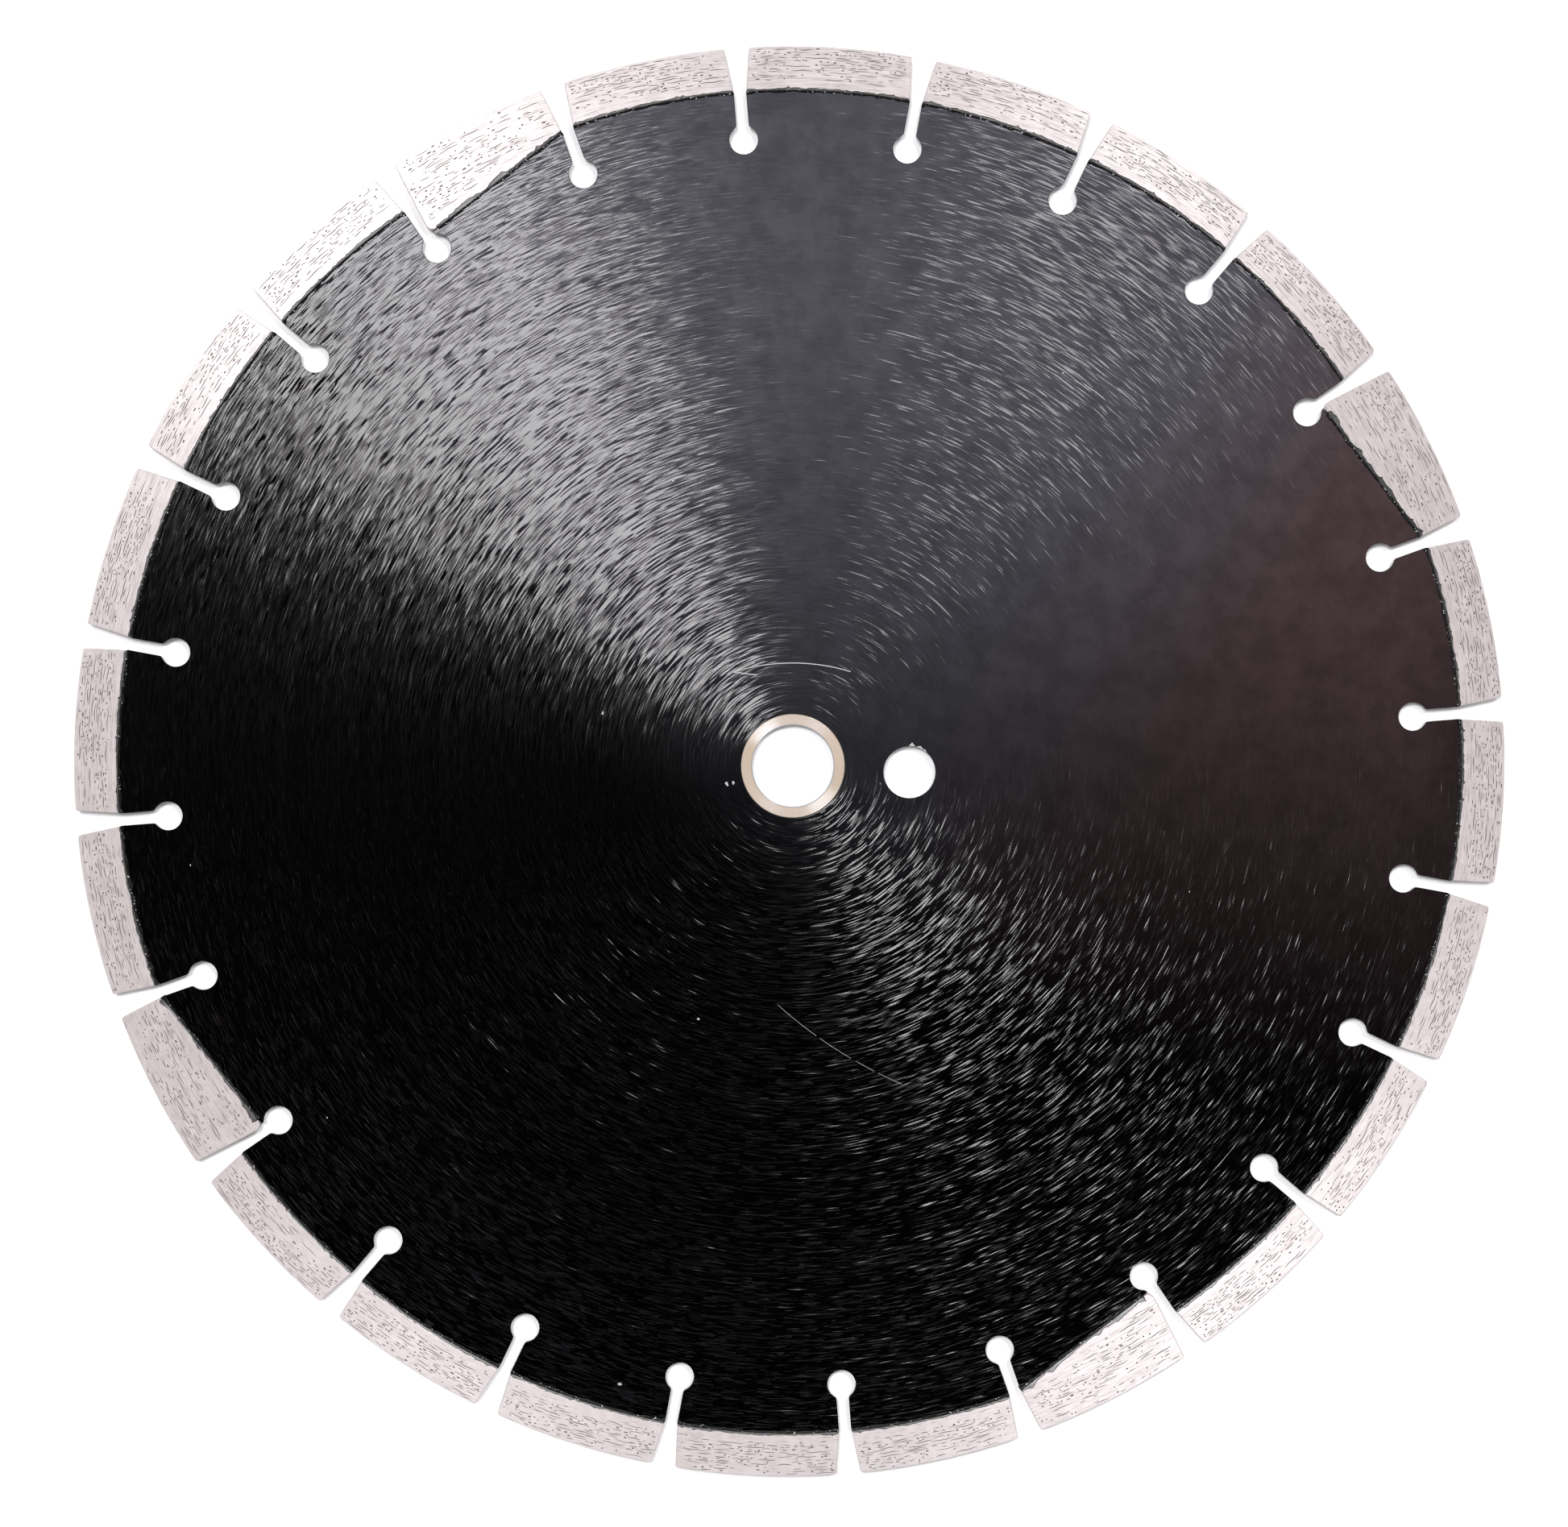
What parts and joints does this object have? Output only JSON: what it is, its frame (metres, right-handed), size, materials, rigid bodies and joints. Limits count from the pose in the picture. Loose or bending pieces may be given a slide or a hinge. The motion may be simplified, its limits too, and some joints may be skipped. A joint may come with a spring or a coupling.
{
  "type": "diamond blade",
  "caption": "Segmented diamond blade for concrete: slotted steel core, sintered cutting segments, slanted undercut-guard segments, drive pin hole and a push-out reducing bush.",
  "frame": {"origin": "centre of the arbor bore, at half of the blade's thickness", "axes": "+Z along the spin axis, out of the front face; the blade lies flat in the XY plane and turns counter-clockwise seen from +Z; the drive pin hole lies close to +X"},
  "size_m": [0.35, 0.35, 0.0032],
  "materials": {
    "blackened_steel": "semi-gloss black coat over fine circular brushing",
    "sintered_metal": "ground sintered metal with pits and fine circular grinding lines",
    "yellow_zinc": "turned steel with a pale yellow zinc plating"
  },
  "bodies": {
    "blade": {"steel_core": "blackened_steel", "segment_01": "sintered_metal", "undercut_segment_02": "sintered_metal", "segment_03": "sintered_metal", "segment_04": "sintered_metal", "segment_05": "sintered_metal", "segment_06": "sintered_metal", "segment_07": "sintered_metal", "undercut_segment_08": "sintered_metal", "segment_09": "sintered_metal", "segment_10": "sintered_metal", "segment_11": "sintered_metal", "segment_12": "sintered_metal", "segment_13": "sintered_metal", "undercut_segment_14": "sintered_metal", "segment_15": "sintered_metal", "segment_16": "sintered_metal", "segment_17": "sintered_metal", "segment_18": "sintered_metal", "segment_19": "sintered_metal", "undercut_segment_20": "sintered_metal", "segment_21": "sintered_metal", "segment_22": "sintered_metal", "segment_23": "sintered_metal", "segment_24": "sintered_metal"},
    "bush": {"reducing_bush": "yellow_zinc"}
  },
  "joints": [
    {"name": "bush_push_out", "type": "slide", "parent": "blade", "child": "bush", "axis": [0, 0, 1], "range_m": [0, 0.012]}
  ]
}
